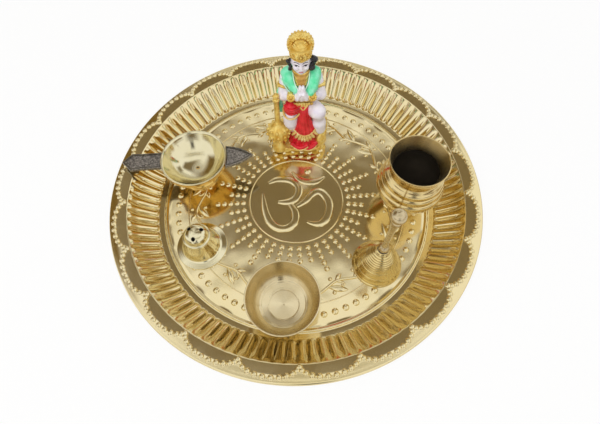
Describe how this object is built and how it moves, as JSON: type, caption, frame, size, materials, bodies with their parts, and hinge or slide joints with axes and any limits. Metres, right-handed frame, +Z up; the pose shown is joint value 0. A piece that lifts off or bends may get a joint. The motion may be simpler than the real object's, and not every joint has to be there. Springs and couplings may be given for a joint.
{
  "type": "puja thali",
  "caption": "Round brass worship plate with a fluted wall that carries an oil lamp, an incense stand, a hand bell, a water pot, an offering bowl and a painted kneeling figure.",
  "frame": {"origin": "centre of the plate's flat underside", "axes": "+Z up, +X to the user's right, +Y away from the user, towards the figure"},
  "size_m": [0.3, 0.3, 0.1162],
  "materials": {
    "plate_brass": "pressed and mirror polished",
    "polished_brass": "polished",
    "turned_brass": "satin, turned",
    "cast_metal": "as cast, gritty",
    "iron_wire": "drawn wire",
    "painted_resin": "hand painted, glossy"
  },
  "bodies": {
    "plate": {"thali_plate": "plate_brass"},
    "lamp": {"lamp_cup": "polished_brass", "lamp_foot": "polished_brass", "lamp_rivet": "polished_brass", "lamp_handle": "cast_metal"},
    "incense_stand": {"incense_base": "polished_brass", "incense_head": "polished_brass"},
    "bell": {"bell_body": "polished_brass", "bell_handle": "polished_brass", "bell_eye_nut": "polished_brass"},
    "clapper": {"clapper_wire": "iron_wire", "clapper_ball": "polished_brass"},
    "lota": {"lota_body": "polished_brass", "lota_neck": "polished_brass"},
    "bowl": {"offering_bowl": "turned_brass"},
    "idol": {"idol_figure": "painted_resin"}
  },
  "joints": [
    {"name": "lamp_lift", "type": "slide", "parent": "plate", "child": "lamp", "axis": [0, 0, 1], "range_m": [0, 0.15]},
    {"name": "incense_lift", "type": "slide", "parent": "plate", "child": "incense_stand", "axis": [0, 0, 1], "range_m": [0, 0.15]},
    {"name": "bell_lift", "type": "slide", "parent": "plate", "child": "bell", "axis": [0, 0, 1], "range_m": [0, 0.15]},
    {"name": "clapper_swing", "type": "hinge", "parent": "bell", "child": "clapper", "pos_m": [0.06322, -0.0602, 0.0248], "axis": [1, 0, 0], "range_deg": [-32, 32]},
    {"name": "lota_lift", "type": "slide", "parent": "plate", "child": "lota", "axis": [0, 0, 1], "range_m": [0, 0.15]},
    {"name": "bowl_lift", "type": "slide", "parent": "plate", "child": "bowl", "axis": [0, 0, 1], "range_m": [0, 0.15]},
    {"name": "idol_lift", "type": "slide", "parent": "plate", "child": "idol", "axis": [0, 0, 1], "range_m": [0, 0.15]}
  ]
}
